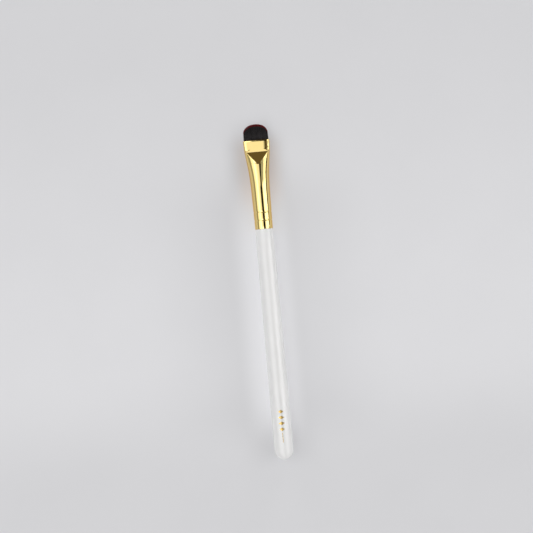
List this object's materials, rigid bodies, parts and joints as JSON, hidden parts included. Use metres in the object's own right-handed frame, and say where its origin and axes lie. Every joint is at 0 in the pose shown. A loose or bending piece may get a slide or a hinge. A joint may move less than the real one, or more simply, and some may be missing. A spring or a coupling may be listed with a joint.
{
  "type": "eyeshadow brush",
  "caption": "Flat eyeshadow brush: white lacquered wooden handle, gold crimped and flattened ferrule, short dense dark tuft with a domed top.",
  "frame": {"origin": "centre of the bounding box in X and Y, on the surface that the brush lies on", "axes": "+X along the brush from the butt to the tips, +Z out of the front face, +Y to the left of someone who looks at the front with the tips up"},
  "size_m": [0.1548, 0.0122, 0.0089],
  "materials": {
    "wood": "bare turned birch",
    "primer": "matt sealing primer",
    "lacquer": "white gloss lacquer",
    "foil": "hot-stamped gold foil",
    "glue": "clear amber glue",
    "ferrule_metal": "polished, gold anodised",
    "resin": "set amber resin",
    "root_filament": "packed filament ends",
    "thread": "twisted polyester thread",
    "filament": "black filament with dark-red tips"
  },
  "bodies": {
    "root": {"handle_core": "wood", "primer_coat": "primer", "lacquer_coat": "lacquer", "foil_ornament": "foil", "tenon_glue": "glue", "ferrule": "ferrule_metal", "root_resin": "resin", "root_bundle": "root_filament", "root_binding": "thread", "bristles": "filament"}
  },
  "joints": []
}
